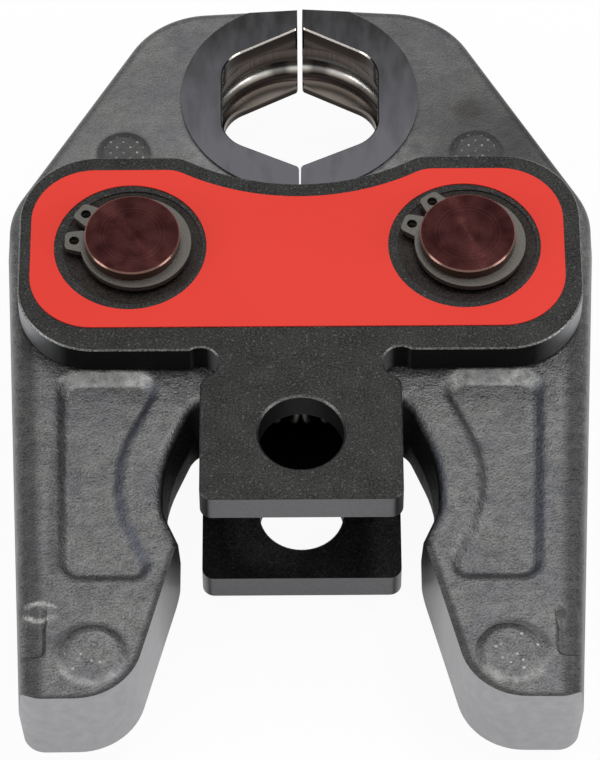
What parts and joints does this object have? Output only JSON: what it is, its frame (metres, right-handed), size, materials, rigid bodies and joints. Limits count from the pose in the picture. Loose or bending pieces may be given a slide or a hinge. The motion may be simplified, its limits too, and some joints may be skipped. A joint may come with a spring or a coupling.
{
  "type": "press fitting tool jaw",
  "caption": "Jaw for a hand-held press tool: hinged forged halves close a hexagonal press contour, held between T-shaped side plates with a lock-bolt bore.",
  "frame": {"origin": "centre of the lock-bolt bore, halfway through the thickness", "axes": "+Z along the lock-bolt bore towards the labelled face, +Y from the bore to the press contour, +X across the jaws"},
  "size_m": [0.0996, 0.1404, 0.0366],
  "materials": {
    "blackened_plate": "blackened, fine grain",
    "red_label": "satin film",
    "turned_pin": "turned and browned",
    "spring_steel": "phosphated",
    "forged_steel": "blasted forging with machined faces"
  },
  "bodies": {
    "side_plates": {"front_side_plate": "blackened_plate", "back_side_plate": "blackened_plate", "front_label": "red_label", "left_pivot_pin": "turned_pin", "right_pivot_pin": "turned_pin", "circlip_front_left": "spring_steel", "circlip_front_right": "spring_steel", "circlip_back_left": "spring_steel", "circlip_back_right": "spring_steel", "return_spring": "spring_steel"},
    "left_half": {"left_jaw": "forged_steel"},
    "right_half": {"right_jaw": "forged_steel"}
  },
  "joints": [
    {"name": "left_jaw_hinge", "type": "hinge", "parent": "side_plates", "child": "left_half", "pos_m": [-0.0279, 0.0372, 0], "axis": [0, 0, 1], "range_deg": [-0.27, 16.6], "stiffness_Nm_per_rad": 6, "deforming": ["return_spring"]},
    {"name": "right_jaw_hinge", "type": "hinge", "parent": "side_plates", "child": "right_half", "pos_m": [0.0279, 0.0372, 0], "axis": [0, 0, -1], "range_deg": [-0.64, 16.3], "stiffness_Nm_per_rad": 6, "deforming": ["return_spring"]}
  ]
}
